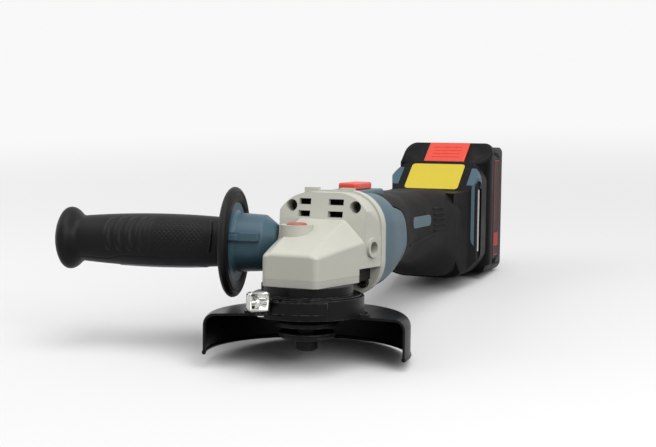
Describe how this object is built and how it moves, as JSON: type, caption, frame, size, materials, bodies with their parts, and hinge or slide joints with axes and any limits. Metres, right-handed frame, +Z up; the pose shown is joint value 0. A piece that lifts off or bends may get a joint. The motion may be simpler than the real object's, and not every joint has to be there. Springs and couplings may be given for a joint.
{
  "type": "angle grinder",
  "caption": "Cordless angle grinder with bevel gear head, turnable clamp guard, screw-in side handle, top slide switch, spindle lock and a battery pack that lifts off its rear rails.",
  "frame": {"origin": "on the spindle axis at the working face of the inner flange, where a wheel's back seats", "axes": "+Z up the spindle into the gear case, away from the wheel; +Y along the motor and grip towards the battery; +X to the side opposite the fitted side handle"},
  "size_m": [0.251, 0.3772, 0.1319],
  "materials": {
    "case_paint": "satin warm grey paint on a casting",
    "cover_paint": "satin grey paint",
    "neck_metal": "machined",
    "dark_screw": "blackened steel",
    "bright_steel": "bright turned steel",
    "bearing_steel": "ground and polished",
    "gear_steel": "cut and hardened steel",
    "bush_brass": "sintered bush",
    "seal_rubber": "matt",
    "guard_black": "glossy black coat on pressed steel",
    "clamp_black": "satin black coat",
    "buckle_zinc": "zinc plated",
    "nut_steel": "phosphated steel",
    "lock_red": "moulded",
    "spring_steel": "spring wire",
    "handle_rubber": "textured moulding",
    "shell_blue": "moulded, fine texture",
    "grip_rubber": "overmoulded soft skin",
    "strip_grey": "moulded",
    "label_yellow": "plain panel with no print",
    "switch_red": "moulded",
    "inner_plastic": "moulded",
    "fan_plastic": "moulded",
    "lamination": "stacked sheet",
    "copper_wire": "enamelled winding wire",
    "board_green": "circuit board",
    "contact_brass": "sprung contact metal",
    "pack_black": "moulded, fine texture",
    "inlay_grey": "moulded",
    "cell_wrap": "shrink wrap",
    "latch_red": "moulded, ribbed"
  },
  "bodies": {
    "body": {"gear_case": "case_paint", "bearing_cover": "cover_paint", "guard_neck": "neck_metal", "cover_screws": "dark_screw", "spindle_top_bush": "bush_brass", "spindle_seal": "seal_rubber", "spindle_bearing_outer": "bearing_steel", "rotor_front_bearing_outer": "bearing_steel", "rotor_rear_bearing_outer": "bearing_steel", "gear_case_screws": "dark_screw", "stator_core": "lamination", "stator_windings": "copper_wire", "motor_end_cap": "inner_plastic", "fan_shroud": "inner_plastic", "motor_housing_left": "shell_blue", "motor_housing_right": "shell_blue", "grip_cover_left": "grip_rubber", "grip_cover_right": "grip_rubber", "housing_trims": "shell_blue", "side_strips": "strip_grey", "housing_screws": "dark_screw", "receiver_frame": "pack_black", "label_panel": "label_yellow", "switch_block": "inner_plastic", "controller": "board_green", "terminal_block": "inner_plastic", "terminal_blades": "contact_brass", "lock_spring": "spring_steel"},
    "spindle": {"spindle": "bright_steel", "bevel_gear": "gear_steel", "spindle_bearing_inner": "bearing_steel", "inner_flange": "bright_steel"},
    "nut": {"clamp_nut": "nut_steel"},
    "rotor": {"rotor_shaft": "bright_steel", "pinion": "gear_steel", "fan": "fan_plastic", "rotor_core": "lamination", "rotor_front_bearing_inner": "bearing_steel", "rotor_rear_bearing_inner": "bearing_steel"},
    "guard": {"guard_shell": "guard_black", "guard_collar": "clamp_black", "guard_rivets": "bright_steel", "clamp_bracket": "clamp_black", "clamp_pin": "bright_steel"},
    "lever": {"clamp_lever": "clamp_black", "clamp_buckle": "buckle_zinc"},
    "lock": {"lock_button": "lock_red"},
    "switch": {"slide_switch": "switch_red", "switch_link": "inner_plastic"},
    "battery": {"battery_case_front": "pack_black", "battery_case_back": "pack_black", "battery_inlays": "inlay_grey", "battery_cells": "cell_wrap", "cell_holder": "inner_plastic", "battery_board": "board_green", "battery_contacts": "contact_brass"},
    "latch": {"battery_latch": "latch_red"},
    "side_handle": {"handle_stud": "bright_steel", "handle_core": "shell_blue", "handle_grip": "handle_rubber"}
  },
  "joints": [
    {"name": "rotor_spin", "type": "hinge", "parent": "body", "child": "rotor", "pos_m": [0, 0.06, 0.0486], "axis": [0, 1, 0], "continuous": true},
    {"name": "spindle_spin", "type": "hinge", "parent": "body", "child": "spindle", "pos_m": [0, 0, 0], "axis": [0, 0, 1], "continuous": true},
    {"name": "nut_unscrew", "type": "slide", "parent": "spindle", "child": "nut", "axis": [0, 0, -1], "range_m": [0, 0.02]},
    {"name": "guard_turn", "type": "hinge", "parent": "body", "child": "guard", "pos_m": [0, 0, 0], "axis": [0, 0, 1], "range_deg": [-40, 80]},
    {"name": "clamp_lever_open", "type": "hinge", "parent": "guard", "child": "lever", "pos_m": [-0.01286, -0.03956, 0.0151], "axis": [0, 0, -1], "range_deg": [0, 90]},
    {"name": "lock_press", "type": "slide", "parent": "body", "child": "lock", "axis": [0, 0, -1], "range_m": [0, 0.0036], "stiffness_N_per_m": 600, "springref_m": -0.002, "deforming": ["lock_spring"]},
    {"name": "switch_slide", "type": "slide", "parent": "body", "child": "switch", "axis": [0, -1, 0], "range_m": [0, 0.008]},
    {"name": "battery_slide", "type": "slide", "parent": "body", "child": "battery", "axis": [0, 0, 1], "range_m": [0, 0.08]},
    {"name": "latch_press", "type": "slide", "parent": "battery", "child": "latch", "axis": [0, 0.6364, -0.7714], "range_m": [0, 0.003], "stiffness_N_per_m": 900, "springref_m": -0.0015},
    {"name": "handle_unscrew", "type": "slide", "parent": "body", "child": "side_handle", "axis": [-0.9744, -0.225, 0], "range_m": [0, 0.016]}
  ],
  "couplings": [
    {"joint": "spindle_spin", "follows": "rotor_spin", "ratio": 0.28571}
  ]
}
